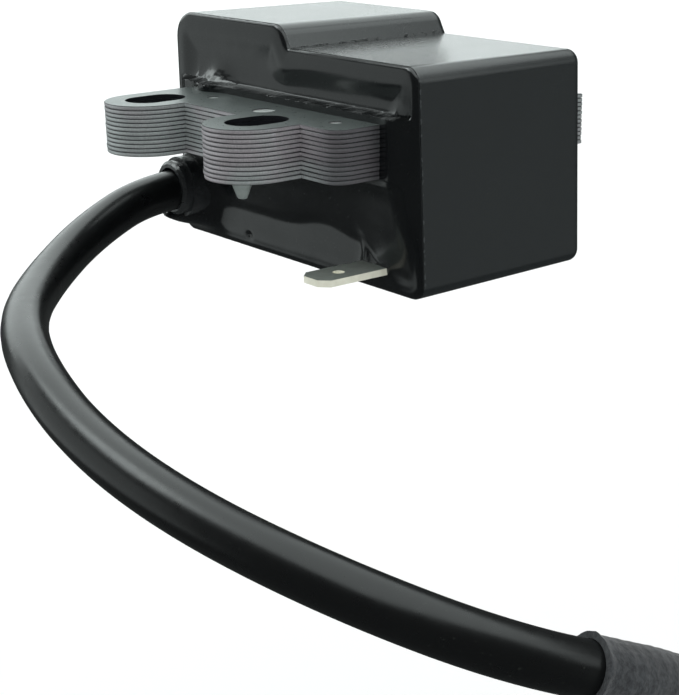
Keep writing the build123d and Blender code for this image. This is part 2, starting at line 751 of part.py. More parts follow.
def coil_space(middle, front_y, length, outer):
    """The whole space a coil takes up on its leg, out to its flanges."""
    half_width, half_height = outer[0] / 2, outer[1] / 2
    low = (middle[0] - half_width, front_y, middle[1] - half_height)
    high = (middle[0] + half_width, front_y + length, middle[1] + half_height)
    return block(low, high)


resin_face_y = mouth_y + resin_recess
with BuildPart() as potting_resin:
    with BuildSketch(mouth):
        add(cup_section(cup_wall))
    extrude(amount=-(cup_depth - cup_wall), taper=cup_draft)
    rim_low = (cup_left_x, mouth_y - cut_overrun, cup_floor_z)
    rim_high = (cup_right_x, resin_face_y, cup_hump_top_z)
    add(block(rim_low, rim_high), mode=Mode.SUBTRACT)
    creep_low = (yoke_left_x - resin_creep_width, mouth_y - resin_creep, -resin_creep_width)
    creep_high = (yoke_right_x + resin_creep_width, resin_face_y, stack_height + resin_creep_width)
    add(block(creep_low, creep_high))
    fillet(potting_resin.faces().sort_by(Axis.Y)[0].edges(), resin_creep_rounding)
    with BuildSketch(Plane.XY):
        add(core_sheet)
    extrude(amount=stack_height, mode=Mode.SUBTRACT)
    with BuildSketch(at_y(socket_back_y)):
        Circle(socket_diameter / 2)
    extrude(amount=socket_buried + cut_overrun, mode=Mode.SUBTRACT)
    coil_room = coil_space(coil_middle, coil_front_y, coil_length, secondary_flange)
    charge_room = coil_space(charge_middle, charge_front_y, charge_coil_length, charge_flange)
    potted = [coil_room, charge_room, ht_contact.part, circuit_board.part, storage_capacitor.part]
    potted += [thyristor.part, diodes.part, resistors.part, stop_tab.part, earth_strap.part]
    for piece in potted:
        add(piece, mode=Mode.SUBTRACT)
finish(potting_resin, "potting_resin")
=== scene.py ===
import math

import bmesh
import bpy
import numpy as np
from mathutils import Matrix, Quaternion, Vector, noise


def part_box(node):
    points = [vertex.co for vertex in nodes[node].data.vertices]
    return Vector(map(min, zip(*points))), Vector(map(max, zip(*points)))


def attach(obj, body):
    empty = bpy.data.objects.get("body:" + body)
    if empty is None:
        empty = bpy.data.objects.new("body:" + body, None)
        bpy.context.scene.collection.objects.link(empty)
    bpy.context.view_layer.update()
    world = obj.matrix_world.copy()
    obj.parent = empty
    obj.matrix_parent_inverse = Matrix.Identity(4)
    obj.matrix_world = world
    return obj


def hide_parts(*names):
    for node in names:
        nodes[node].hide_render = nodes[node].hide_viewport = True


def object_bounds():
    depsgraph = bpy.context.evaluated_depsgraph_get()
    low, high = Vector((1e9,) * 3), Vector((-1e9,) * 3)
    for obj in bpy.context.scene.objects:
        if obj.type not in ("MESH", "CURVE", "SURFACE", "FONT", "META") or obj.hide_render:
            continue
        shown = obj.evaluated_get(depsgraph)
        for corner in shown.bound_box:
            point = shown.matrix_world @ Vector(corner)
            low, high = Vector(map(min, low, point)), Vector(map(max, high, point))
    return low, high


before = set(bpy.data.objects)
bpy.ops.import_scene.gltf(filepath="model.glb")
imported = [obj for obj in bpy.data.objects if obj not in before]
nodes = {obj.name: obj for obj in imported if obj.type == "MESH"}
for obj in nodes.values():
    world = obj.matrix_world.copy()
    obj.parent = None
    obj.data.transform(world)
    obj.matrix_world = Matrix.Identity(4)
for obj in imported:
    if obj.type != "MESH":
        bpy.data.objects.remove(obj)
cad_low, cad_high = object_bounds()
mm = 0.001


# ---- camera ----
# A long lens close in front of the corner by the stop tab, a little above the coil and turned
# very slightly about its own axis.
view_azimuth = math.radians(52.804)
view_elevation = math.radians(17.872)
view_roll = math.radians(-1.124)
view_back = Vector((
    math.sin(view_azimuth) * math.cos(view_elevation),
    -math.cos(view_azimuth) * math.cos(view_elevation),
    math.sin(view_elevation),
))
camera = bpy.data.objects.new("camera", bpy.data.cameras.new("camera"))
camera.data.lens = 82.255
camera.data.sensor_width = 36.0
camera.data.clip_start = 0.01
camera.location = (0.15951, -0.10152, 0.03685)
camera.rotation_mode = "QUATERNION"
upright = (-view_back).to_track_quat("-Z", "Y")
camera.rotation_quaternion = upright @ Quaternion((0, 0, 1), view_roll)
bpy.context.scene.collection.objects.link(camera)
bpy.context.scene.camera = camera
bpy.context.scene.view_settings.view_transform = "Standard"


# ---- high-tension lead ----
# A stranded copper core in a thick, smooth black jacket. It is potted into the socket at one
# end and hangs in its own curve to the plug boot at the other.
lead_route = [
    (-16.95, 12.4, -6.8),
    (-16.95, 2.0, -6.8),
    (-14.0, -8.5, -9.7),
    (-6.3, -19.0, -12.3),
    (5.2, -28.3, -13.2),
    (18.0, -33.5, -14.5),
    (32.0, -35.5, -17.5),
    (47.5, -34.5, -20.0),
    (63.5, -29.5, -23.0),
    (74.0, -19.0, -28.5),
    (77.5, -5.0, -34.5),
    (76.0, 8.5, -43.0),
    (72.0, 19.0, -54.0),
    (68.5, 26.0, -66.0),
    (67.0, 29.0, -78.0),
    (67.0, 29.0, -90.5),
]
lead_diameter = 5.2 * mm


class Signal:
    """An output of a node. Arithmetic on signals adds the Math nodes that work it out."""

    def __init__(self, tree, socket=None):
        self.tree = tree
        self.socket = socket

    def node(self, kind, settings, inputs, output=0):
        """Adds any node: its settings first, then its sockets' values or links."""
        made = self.tree.nodes.new(kind)
        for name, value in settings.items():
            setattr(made, name, value)
        for name, value in inputs.items():
            into = socket_named(made.inputs, name)
            if isinstance(value, Signal):
                self.tree.links.new(value.socket, into)
            else:
                into.default_value = value
        return Signal(self.tree, socket_named(made.outputs, output))

    def maths(self, operation, *terms):
        inputs = dict(enumerate(terms))
        return self.node("ShaderNodeMath", {"operation": operation}, inputs)

    def __add__(self, other):
        return self.maths("ADD", self, other)

    __radd__ = __add__

    def __sub__(self, other):
        return self.maths("SUBTRACT", self, other)

    def __rsub__(self, other):
        return self.maths("SUBTRACT", other, self)

    def __mul__(self, other):
        return self.maths("MULTIPLY", self, other)

    __rmul__ = __mul__


def socket_named(sockets, name):
    """A node's socket, by its place, its identifier or its name."""
    if isinstance(name, int):
        return sockets[name]
    for socket in sockets:
        if socket.identifier == name:
            return socket
    return sockets[name]


class Finish:
    """A material with one Principled shader, and the usual patterns to vary it with."""

    def __init__(self, name, **flat):
        self.material = bpy.data.materials.new(name)
        self.material.use_nodes = True
        tree = self.material.node_tree
        self.shader = tree.nodes["Principled BSDF"]
        self.start = Signal(tree)
        self.place = self.start.node("ShaderNodeTexCoord", {}, {}, "Object")
        for socket, value in flat.items():
            self.shader.inputs[socket.replace("_", " ")].default_value = value

    def noise(self, size, detail=2.0, stretch=(1.0, 1.0, 1.0), roughness=0.5):
        """Cloudy noise from 0 to 1, with features about that many metres across."""
        turned = self.start.node("ShaderNodeMapping", {}, {"Vector": self.place, "Scale": stretch})
        values = {"Vector": turned, "Scale": 1 / size, "Detail": detail, "Roughness": roughness}
        return self.start.node("ShaderNodeTexNoise", {}, values, "Fac")

    def axis(self, name):
        """One of the object's own coordinates, X, Y or Z, in metres."""
        return self.start.node("ShaderNodeSeparateXYZ", {}, {"Vector": self.place}, name)

    def maths_of(self, operation, *terms):
        return self.start.maths(operation, *terms)

    def flatness(self):
        """How level the surface lies: 1 on flat tops and undersides, 0 on upright edges."""
        way = self.start.node("ShaderNodeNewGeometry", {}, {}, "Normal")
        upwards = self.start.node("ShaderNodeSeparateXYZ", {}, {"Vector": way}, "Z")
        return self.maths_of("ABSOLUTE", upwards)

    def step(self, value, low, high):
        """0 where the value is below low, 1 above high, and smooth between them."""
        values = {"Value": value, "From Min": low, "From Max": high}
        settings = {"interpolation_type": "SMOOTHSTEP"}
        return self.start.node("ShaderNodeMapRange", settings, values)

    def blend(self, mask, first, second):
        """One colour where the mask is 0, the other where it is 1."""
        values = {"Factor_Float": mask, "A_Color": opaque(first), "B_Color": opaque(second)}
        settings = {"data_type": "RGBA", "clamp_factor": True}
        return self.start.node("ShaderNodeMix", settings, values, "Result_Color")

    def relief(self, height, depth):
        """Bumps of up to that depth in metres, where the height goes from 0 to 1."""
        values = {"Height": height, "Distance": depth}
        self.feed(Normal=self.start.node("ShaderNodeBump", {}, values, "Normal"))

    def feed(self, **varying):
        for socket, signal in varying.items():
            into = self.shader.inputs[socket.replace("_", " ")]
            self.start.tree.links.new(signal.socket, into)

    def on(self, *objects):
        for painted in objects:
            if not painted.material_slots:
                painted.data.materials.append(self.material)
            for held in painted.material_slots:
                held.material = self.material


def opaque(colour):
    return (*colour, 1.0) if isinstance(colour, tuple) else colour


def add_object(name, data):
    made = bpy.data.objects.new(name, data)
    bpy.context.scene.collection.objects.link(made)
    return made


jacket = Finish("lead_rubber", IOR=1.5, Specular_IOR_Level=0.5)
scuffs = jacket.noise(1.4 * mm, 4.0)
specks = jacket.step(jacket.noise(0.5 * mm, 1.0), 0.72, 0.8)
jacket.feed(
    Base_Color=jacket.blend(specks * 0.5, (0.0032, 0.0038, 0.0042), (0.02, 0.024, 0.02)),
    Roughness=0.23 + scuffs * 0.12,
)
jacket.relief(jacket.noise(0.9 * mm, 3.0), 0.006 * mm)

lead_curve = bpy.data.curves.new("lead", "CURVE")
lead_curve.dimensions = "3D"
lead_curve.resolution_u = 20
lead_line = lead_curve.splines.new("NURBS")
lead_line.points.add(len(lead_route) - 1)
for point, (x, y, z) in zip(lead_line.points, lead_route):
    point.co = (x * mm, y * mm, z * mm, 1.0)
lead_line.order_u = 3
lead_line.use_endpoint_u = True
bare_lead = bpy.data.objects.new("bare_lead", lead_curve)
lead_middle = [v.co.copy() for v in bpy.data.meshes.new_from_object(bare_lead).vertices]
bpy.data.objects.remove(bare_lead)
lead_curve.bevel_depth = lead_diameter / 2
lead_curve.bevel_resolution = 10
lead_curve.use_fill_caps = True
lead = add_object("lead", lead_curve)
jacket.on(lead)
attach(lead, "root")
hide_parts("ht_lead")


# ---- sleeve on the lead ----
# A length of woven glass sleeving, dull and slightly fuzzy, pushed onto the lead and cut off
# square, so that its end stands up in a small ragged lip.
sleeve_outer = 3.1 * mm
sleeve_inner = 2.65 * mm
sleeve_lip = 0.17 * mm
sleeve_lip_length = 0.55 * mm
sleeve_ring_gap = 0.16 * mm
sleeve_sides = 72
sleeve_inner_step = 5                  # its plain inner wall needs only every fifth ring
sleeve_carriers = 18                   # crossings of the weave round the sleeve
sleeve_weave_pitch = 2.6 * mm          # lead of one thread of the weave
sleeve_weave_depth = 0.035 * mm
sleeve_fuzz = 0.03 * mm
sleeve_lump = 0.07 * mm
sleeve_lip_rag = 0.12 * mm
sleeve_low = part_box("lead_sleeve")[0]


def walk(points, step):
    """Points that far apart along a line of points."""
    points = np.array(points)
    along = np.concatenate([[0.0], np.cumsum(np.linalg.norm(np.diff(points, axis=0), axis=1))])
    at = np.linspace(0.0, along[-1], max(2, round(along[-1] / step) + 1))
    return [Vector(p) for p in np.stack([np.interp(at, along, points[:, k]) for k in range(3)], 1)]


def carried_frames(points):
    """Two directions across the line at each point, turning no more than the line does."""
    sideways = Vector((0, 0, 1))
    frames = []
    for before, after in zip([points[0]] + points[:-1], points[1:] + [points[-1]]):
        ahead = (after - before).normalized()
        sideways = (sideways - ahead * sideways.dot(ahead)).normalized()
        frames.append((sideways, ahead.cross(sideways)))
    return frames


def sleeve_radius(turn, along):
    """The woven surface: two families of threads over and under each other, and a lip."""
    cross = sleeve_carriers * turn / 2
    climb = 2 * math.pi * along / sleeve_weave_pitch
    weave = math.sin(cross + climb) * math.sin(cross - climb)
    fuzz = noise.noise(Vector((math.cos(turn) * 4, math.sin(turn) * 4, along / mm * 1.3)))
    lip = math.exp(-((along / sleeve_lip_length) ** 2))
    lump = noise.noise(Vector((math.cos(turn) * 1.1, math.sin(turn) * 1.1, along / mm * 0.18)))
    return (sleeve_outer + weave * sleeve_weave_depth + fuzz * sleeve_fuzz + lump * sleeve_lump
            + lip * (sleeve_lip + fuzz * sleeve_lip_rag))


def ring_mesh(name, rings):
    """A closed skin over rings of points, each joined to the next and the last to the first."""
    skin = bmesh.new()
    verts = [[skin.verts.new(point) for point in ring] for ring in rings]
    for here, there in zip(verts, verts[1:] + verts[:1]):
        for k, corner in enumerate(here):
            skin.faces.new((here[k - 1], corner, there[k], there[k - 1]))
    bmesh.ops.recalc_face_normals(skin, faces=skin.faces)
    mesh = bpy.data.meshes.new(name)
    skin.to_mesh(mesh)
    skin.free()
    mesh.shade_smooth()
    mesh.set_sharp_from_angle(angle=math.radians(50))
    return mesh


sleeve_turns = [2 * math.pi * k / sleeve_sides for k in range(sleeve_sides)]


def sleeve_ring(number, radius):
    point, (side, over) = sleeve_path[number], sleeve_frames[number]
    return [point + (side * math.cos(t) + over * math.sin(t)) * radius(t) for t in sleeve_turns]


sleeve_start = (Vector(lead_route[9]) + Vector(lead_route[10])) / 2 * mm
sleeve_from = min(range(len(lead_middle)), key=lambda i: (lead_middle[i] - sleeve_start).length)
sleeve_to = min(i for i, p in enumerate(lead_middle) if p.z < sleeve_low.z + 0.2 * mm)
sleeve_path = walk(lead_middle[sleeve_from:sleeve_to + 1], sleeve_ring_gap)
sleeve_frames = carried_frames(sleeve_path)
sleeve_rings = [
    sleeve_ring(number, lambda t, n=number: sleeve_radius(t, n * sleeve_ring_gap))
    for number in range(len(sleeve_path))
]
for number in [*range(len(sleeve_path) - 1, 0, -sleeve_inner_step), 0]:
    sleeve_rings.append(sleeve_ring(number, lambda t: sleeve_inner))
sleeve = add_object("sleeve", ring_mesh("sleeve", sleeve_rings))

weave_finish = Finish("sleeve_fabric", Roughness=0.95, Specular_IOR_Level=0.25, Sheen_Weight=0.25)
tufts = weave_finish.noise(0.45 * mm, 5.0, roughness=0.7)
dirt = weave_finish.noise(2.6 * mm, 3.0)
weave_finish.feed(Base_Color=weave_finish.blend(
    weave_finish.step(tufts * 0.7 + dirt * 0.3, 0.36, 0.66),
    (0.011, 0.013, 0.016), (0.043, 0.049, 0.053),
))
weave_finish.relief(tufts, 0.09 * mm)
weave_finish.on(sleeve)
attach(sleeve, "root")
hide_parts("lead_sleeve")


# ---- plug boot and clip ----
# The boot is moulded in soft black rubber over the sleeve's end. The sprung clip inside it is
# rolled from tinned brass strip, and its spike is pushed up into the lead's copper core.
boot_rubber = Finish("boot_rubber", IOR=1.5, Specular_IOR_Level=0.45)
bloom = boot_rubber.noise(2.6 * mm, 4.0)
boot_rubber.feed(
    Base_Color=boot_rubber.blend(bloom, (0.010, 0.010, 0.011), (0.030, 0.030, 0.032)),
    Roughness=0.46 + bloom * 0.2,
)
boot_rubber.relief(boot_rubber.noise(0.4 * mm, 3.0), 0.02 * mm)
boot_rubber.on(nodes["plug_boot"])

tinned = Finish("tinned_brass", IOR=1.5)
stain = tinned.noise(1.6 * mm, 4.0)
tinned.feed(
    Base_Color=tinned.blend(stain, (0.62, 0.60, 0.52), (0.40, 0.34, 0.22)),
    Roughness=0.28 + stain * 0.25,
    Metallic=0.95 - stain * 0.2,
)
tinned.relief(tinned.noise(0.25 * mm, 2.0, stretch=(0.1, 1.0, 1.0)), 0.006 * mm)
tinned.on(nodes["plug_clip"], nodes["ht_contact"], nodes["earth_strap"])

copper = Finish("copper_strand", IOR=1.5)
strand_lay = copper.maths_of("SINE", copper.axis("Z") * (2 * math.pi / (0.35 * mm)))
tarnish = copper.noise(1.2 * mm, 3.0)
copper.feed(
    Base_Color=copper.blend(tarnish, (0.62, 0.27, 0.13), (0.36, 0.14, 0.07)),
    Roughness=0.3 + tarnish * 0.2,
    Metallic=0.9 + tarnish * 0.1,
)
copper.relief(strand_lay * 0.5 + 0.5, 0.03 * mm)
copper.on(nodes["lead_conductor"])


# ---- core ----
# Twelve sheets of silicon steel, punched with rolled-over edges, stacked and riveted, then
# dipped in thin grey-green varnish. The sheets sit a little unevenly on the rivets.
sheet_count = 12
sheet_drift = 0.035 * mm
sheet_twist = 0.0009
top_sheet_lift = 0.02 * mm
core_seed = 4
slot_middle_x = 11.05 * mm
slot_half_width = 2.85 * mm
slot_half_length = 4.0 * mm
sheet_pitch = (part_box("lamination_12")[0].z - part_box("lamination_01")[0].z) / (sheet_count - 1)
core_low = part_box("lamination_01")[0]
core_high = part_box("lamination_12")[1]


def merged(node):
    """A CAD node's mesh in a new bmesh, with its loose triangles joined up."""
    joined = bmesh.new()
    joined.from_mesh(nodes[node].data)
    bmesh.ops.remove_doubles(joined, verts=joined.verts, dist=0.001 * mm)
    bmesh.ops.recalc_face_normals(joined, faces=joined.faces)
    return joined


def node_tree(name, inputs):
    """An empty Geometry Nodes tree with the given inputs, and a call that gives each input."""
    tree = bpy.data.node_groups.new(name, "GeometryNodeTree")
    for label, kind in {"Geometry": "Geometry", **inputs}.items():
        tree.interface.new_socket(label, in_out="INPUT", socket_type=f"NodeSocket{kind}")
    tree.interface.new_socket("Geometry", in_out="OUTPUT", socket_type="NodeSocketGeometry")
    given = tree.nodes.new("NodeGroupInput")
    return tree, lambda label: Signal(tree, given.outputs[label])


def run_tree(tree, source, name, values):
    """The tree's result on the source mesh, as a plain mesh in a new object."""
    holder = add_object(name, source)
    modifier = holder.modifiers.new("nodes", "NODES")
    modifier.node_group = tree
    for item in tree.interface.items_tree:
        if item.in_out == "INPUT" and item.name in values:
            modifier[item.identifier] = values[item.name]
    graph = bpy.context.evaluated_depsgraph_get()
    result = bpy.data.meshes.new_from_object(
        holder.evaluated_get(graph), preserve_all_data_layers=True, depsgraph=graph)
    holder.modifiers.clear()
    holder.data = result
    return holder


def stack_tree():
    tree, given = node_tree("sheet_stack", {
        "Sheets": "Int", "Pitch": "Float", "Drift": "Float", "Twist": "Float",
        "Top Lift": "Float", "Seed": "Int", "Material": "Material",
    })
    start = Signal(tree)
    rise = start.node("ShaderNodeCombineXYZ", {}, {"Z": given("Pitch")})
    line = start.node(
        "GeometryNodeMeshLine", {"mode": "OFFSET"}, {"Count": given("Sheets"), "Offset": rise})
    order = start.node("GeometryNodeInputIndex", {}, {})
    astray = start.node(
        "FunctionNodeRandomValue", {"data_type": "FLOAT_VECTOR"},
        {"Min": (-1, -1, 0), "Max": (1, 1, 0), "Seed": given("Seed")})
    drift = start.node(
        "ShaderNodeVectorMath", {"operation": "SCALE"}, {0: astray, "Scale": given("Drift")}, 0)
    is_top = start.maths("MAXIMUM", order + 2 - given("Sheets"), 0.0)
    lift = start.node("ShaderNodeCombineXYZ", {}, {"Z": is_top * given("Top Lift")})
    shift = start.node("ShaderNodeVectorMath", {"operation": "ADD"}, {0: drift, 1: lift}, 0)
    placed = start.node("GeometryNodeSetPosition", {}, {"Geometry": line, "Offset": shift})
    turn = start.node("ShaderNodeSeparateXYZ", {}, {"Vector": astray}, "Y") * given("Twist")
    turned = start.node("ShaderNodeCombineXYZ", {}, {"Z": turn})
    copies = start.node(
        "GeometryNodeInstanceOnPoints", {},
        {"Points": placed, "Instance": given("Geometry"), "Rotation": turned})
    numbered = start.node(
        "GeometryNodeStoreNamedAttribute", {"data_type": "FLOAT", "domain": "INSTANCE"},
        {"Geometry": copies, "Name": "sheet", "Value": order})
    real = start.node("GeometryNodeRealizeInstances", {}, {"Geometry": numbered})
    painted = start.node(
        "GeometryNodeSetMaterial", {}, {"Geometry": real, "Material": given("Material")})
    tree.links.new(painted.socket, tree.nodes.new("NodeGroupOutput").inputs["Geometry"])
    return tree


core_steel = Finish("core_steel", IOR=1.5, Specular_IOR_Level=0.6)
sheet_number = core_steel.start.node("ShaderNodeAttribute", {"attribute_name": "sheet"}, {}, "Fac")
sheet_tone = core_steel.start.node(
    "ShaderNodeTexWhiteNoise", {"noise_dimensions": "1D"}, {"W": sheet_number}, "Value")
on_face = core_steel.step(core_steel.flatness(), 0.72, 0.95)
punch_marks = core_steel.noise(0.11 * mm, 4.0, stretch=(1.0, 1.0, 0.35), roughness=0.6)
spatter = core_steel.step(core_steel.noise(0.55 * mm, 3.0), 0.60, 0.70)
cast_hue = core_steel.step(core_steel.noise(8.0 * mm, 1.0), 0.40, 0.60)
sheet_phase = core_steel.maths_of("FRACT", (core_steel.axis("Z") - core_low.z) * (1 / sheet_pitch))
off_middle = core_steel.maths_of("ABSOLUTE", sheet_phase - 0.48)
# Painted shade in the gaps between the sheets, standing also for varnish gathered dark in them.
in_groove = core_steel.step(off_middle, 0.30, 0.44)
# Painted highlight along the middle of each sheet's rounded edge, broken up by the punch marks.
edge_highlight_mask = core_steel.step(punch_marks * 0.7 + sheet_tone * 0.15 - off_middle * 0.3, 0.05, 0.62)
by_right_end = core_steel.step(core_steel.axis("X"), 16.0 * mm, 23.0 * mm)
in_front = 1 - core_steel.step(core_steel.axis("Y"), 8.0 * mm, 12.0 * mm)
resin_shade = by_right_end * (1 - on_face) * in_front
edge_highlight_colour = core_steel.blend(cast_hue, (0.52, 0.56, 0.56), (0.53, 0.51, 0.535))
edge_dark = core_steel.blend(cast_hue, (0.28, 0.31, 0.31), (0.29, 0.27, 0.285))
edge_plain = core_steel.blend(edge_highlight_mask, edge_dark, edge_highlight_colour)
edge_shaded = core_steel.blend(resin_shade * 0.75, edge_plain, (0.05, 0.045, 0.055))
edge_groove_shaded = core_steel.blend(in_groove, edge_shaded, (0.035, 0.036, 0.038))
from_slot_x = core_steel.maths_of(
    "ABSOLUTE", core_steel.maths_of("ABSOLUTE", core_steel.axis("X")) - slot_middle_x)
from_slot_y = core_steel.maths_of("ABSOLUTE", core_steel.axis("Y"))
# Painted shade on the sheets' edges inside the ear slots.
slot_shade_mask = (1 - core_steel.step(from_slot_x, slot_half_width, slot_half_width + 0.2 * mm)) * (
    1 - core_steel.step(from_slot_y, slot_half_length, slot_half_length + 0.2 * mm))
edge_colour = core_steel.blend(slot_shade_mask, edge_groove_shaded, (0.018, 0.020, 0.026))
film_cloud = core_steel.noise(3.2 * mm, 4.0)
film_colour = core_steel.blend(film_cloud, (0.07, 0.088, 0.084), (0.12, 0.145, 0.14))
core_steel.feed(
    Base_Color=core_steel.blend(on_face, edge_colour, film_colour),
    Roughness=0.40 - on_face * 0.10 + punch_marks * 0.15 - spatter * 0.12,
    Metallic=0.60 - on_face * 0.20,
)
core_steel.relief(punch_marks * (1 - on_face) + film_cloud * on_face * 0.6, 0.012 * mm)

sheet_mesh = bpy.data.meshes.new("core_sheet")
merged("lamination_01").to_mesh(sheet_mesh)
core_stack = run_tree(stack_tree(), sheet_mesh, "core_stack", {
    "Sheets": sheet_count, "Pitch": sheet_pitch, "Drift": sheet_drift, "Twist": sheet_twist,
    "Top Lift": top_sheet_lift, "Seed": core_seed, "Material": core_steel.material,
})
core_steel.on(core_stack)
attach(core_stack, "root")
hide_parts(*[f"lamination_{number:02d}" for number in range(1, sheet_count + 1)])


# ---- rivets and varnish drip ----
# Soft steel rivets pressed into the stack, their ends flattened bright by the riveting tool.
# The dipping varnish ran down the right ear and set as one bead under it.
rivet_steel = Finish("rivet_steel", IOR=1.5)
hammering = rivet_steel.noise(0.5 * mm, 3.0)
rivet_steel.feed(
    Base_Color=rivet_steel.blend(hammering, (0.62, 0.65, 0.63), (0.85, 0.87, 0.85)),
    Roughness=0.24 + hammering * 0.3,
    Metallic=0.9 + hammering * 0.1,
)
rivet_steel.relief(hammering, 0.12 * mm)
rivet_steel.on(nodes["core_rivets"], nodes["centre_rivet"])

varnish = Finish("core_varnish", IOR=1.5, Coat_Roughness=0.1)
run_marks = varnish.noise(0.8 * mm, 2.0)
varnish.feed(
    Base_Color=varnish.blend(run_marks, (0.15, 0.18, 0.17), (0.30, 0.34, 0.33)),
    Roughness=0.22 + run_marks * 0.15,
    Metallic=0.15 + run_marks * 0.2,
)
varnish.relief(run_marks, 0.05 * mm)
varnish.on(nodes["varnish_drip"])


# ---- cup ----
# A moulded thermoplastic cup, charcoal and satin all over, with a fine spark-eroded grain. Its
# low top is scuffed beside the hump's foot, and its mouth's edge is slightly frayed and carries a
# painted highlight.
moulded = Finish("moulded_case", IOR=1.5, Specular_IOR_Level=0.8)
case_low, case_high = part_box("coil_case")
hump_foot_x = 2.6 * mm
low_top_z = 12.6 * mm
mould_grain = moulded.noise(0.22 * mm, 2.0)
mould_haze = moulded.noise(9.0 * mm, 3.0)
beside_hump = 1 - moulded.step(moulded.axis("X") - hump_foot_x, 1.0 * mm, 10.0 * mm)
on_low_top = moulded.step(moulded.axis("Z"), low_top_z - 0.3 * mm, low_top_z - 0.1 * mm)
under_hump = 1 - moulded.step(moulded.axis("Z"), low_top_z + 0.02 * mm, low_top_z + 0.1 * mm)
scuff_cells = moulded.step(moulded.noise(1.1 * mm, 5.0, roughness=0.65), 0.50, 0.58)
scuffed = scuff_cells * beside_hump * on_low_top * under_hump
by_mouth = 1 - moulded.step(moulded.axis("Y"), case_low.y + 0.10 * mm, case_low.y + 0.30 * mm)
# Painted highlight along the mouth's edge, broken up like fraying.
frayed_and_highlit = by_mouth * moulded.step(moulded.noise(0.55 * mm, 3.0), 0.50, 0.60)
mould_colour = moulded.blend(
    mould_haze * 0.6 + scuffed * 0.4, (0.0075, 0.0100, 0.0110), (0.0125, 0.0160, 0.0170))
moulded.feed(
    Base_Color=moulded.blend(frayed_and_highlit, mould_colour, (0.030, 0.035, 0.037)),
    Roughness=0.20 + mould_haze * 0.06 + mould_grain * 0.05 + scuffed * 0.15,
)
moulded.relief(mould_grain * 0.25 + scuffed * 2, 0.045 * mm)
moulded.on(nodes["coil_case"])


# ---- resin face ----
# Black epoxy poured level with the cup's rim. It rolled over the rim to a soft edge, shrank a
# little inside it, and climbed in fillets round the core, the socket and the tab as it set.
mouth_y = case_low.y
skin_rings = 72
skin_step = 0.4 * mm
skin_back = 0.3 * mm                    # how deep its hidden back lies behind the rim
skin_inner_share = 0.8                  # its rings stop this far from the rim to the spine
spine_left = -14.0 * mm
spine_right = 20.0 * mm
roll_radius = 0.9                       # this and the next three are in millimetres
roll_height = 0.60
core_clear = 0.9                        # the resin's block stands this far past the core
shelf_height = 1.9
socket_low, socket_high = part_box("lead_socket")
socket_middle = (socket_low + socket_high) / 2
socket_radius = (socket_high.x - socket_low.x) / 2
tab_low, tab_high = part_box("stop_tab")
tab_thickness = 0.8 * mm
tab_top = Vector((tab_high.x, 0, tab_low.z + tab_thickness))


def rim_loop():
    """The cup's outer edge at its mouth, as points in order."""
    cup = merged("coil_case")
    partners = {}
    for edge in cup.edges:
        front = [face for face in edge.link_faces if face.normal.y < -0.99]
        if len(front) == 1 and max(v.co.y for v in edge.verts) < mouth_y + 0.01 * mm:
            one, other = edge.verts
            partners.setdefault(one, []).append(other)
            partners.setdefault(other, []).append(one)
    first = max(partners, key=lambda v: v.co.x)
    loop = [first, partners[first][0]]
    while loop[-1] is not first:
        ahead, behind = partners[loop[-1]]
        loop.append(behind if ahead is loop[-2] else ahead)
    return [v.co.copy() for v in loop]


def smooth(value, low, high):
    share = min(max((value - low) / (high - low), 0.0), 1.0)
    return share * share * (3 - 2 * share)


def bell(value, middle, width):
    return math.exp(-(((value - middle) / width) ** 2))


def off_box(x, z, low, high):
    """How far a point of the mouth, in millimetres, is outside a piece's box."""
    beside = max(low.x / mm - x, x - high.x / mm, 0.0)
    below = max(low.z / mm - z, 0.0)
    above = max(z - high.z / mm, 0.0)
    return beside, below, above


def skin_height(x, z, inset):
    """How far the resin stands out of the mouth, all in millimetres."""
    roll = roll_height * math.sqrt(1 - (1 - min(inset / roll_radius, 1.0)) ** 2)
    inside = smooth(inset, 0.0, 1.6)
    crown = 0.10 * bell(inset, 2.0, 1.1)
    dip = 0.32 * smooth(inset, 1.9, 5.2) * smooth(z, -3.0, 5.0)
    swell = 0.07 * noise.noise(Vector((x * 0.13, 3.0, z * 0.16)))
    ripple = 0.008 * noise.noise(Vector((x * 0.6, 7.0, z * 0.6)))
    beside, below, above = off_box(x, z, skin_core_low, skin_core_high)
    ending = math.exp(-beside / 1.1)
    foot = -8.9 + 1.3 * bell(x, 10.0, 5.5) - 2.6 * smooth(x, 17.0, 22.5)
    slope = smooth(z, foot - 1.2, foot + 1.2) * max(z - foot + 0.6, 0.0) / (0.6 - foot)
    if above > 0:
        fillet = 0.75 * math.exp(-above / 0.8) * ending
    else:
        shelf = shelf_height * min(slope, 1.0) + 0.3 * math.exp(-below / 0.7)
        fillet = shelf * (1 - smooth(beside, 0.2, 4.2))
    from_socket = max(math.hypot(x - socket_middle.x / mm, z - socket_middle.z / mm)
                      - socket_radius / mm, 0.0)
    collar = 1.3 * math.exp(-from_socket / 1.0)
    skirt = 4.6 * smooth(z, case_low.z / mm + 0.1, socket_low.z / mm + 0.2)
    skirt *= bell(x, -18.2, 3.1) * smooth(-z, -socket_middle.z / mm, -socket_low.z / mm)
    beside, below, above = off_box(x, z, tab_low, tab_top)
    root = 0.45 * math.exp(-math.hypot(beside, below + above) / 0.8)
    cusp = 0.35 * bell(x, 18.1 - 0.35 * (z + 10.6), 0.6) * bell(z, -9.6, 1.8)
    blob = 0.22 * bell(math.hypot((x - 1.8) / 3.4, (z - 9.6) / 1.5), 0.0, 1.0)
    knob = 1.0 * bell(x, -12.4, 2.2) * bell(z, 6.6, 2.0)
    froth = 0.28 * noise.noise(Vector((x * 2.2, 1.0, z * 2.2)))
    froth *= bell(x, -11.6, 3.0) * bell(z, 6.9, 1.3)
    nick = -0.35 * bell(math.hypot(x + 6.7, z + 12.1), 0.0, 0.42)
    return (roll + inside * (crown - dip + swell + ripple + fillet + collar + root + cusp + blob
                             + knob + froth + nick) + skirt * smooth(inset, 0.0, 2.2))


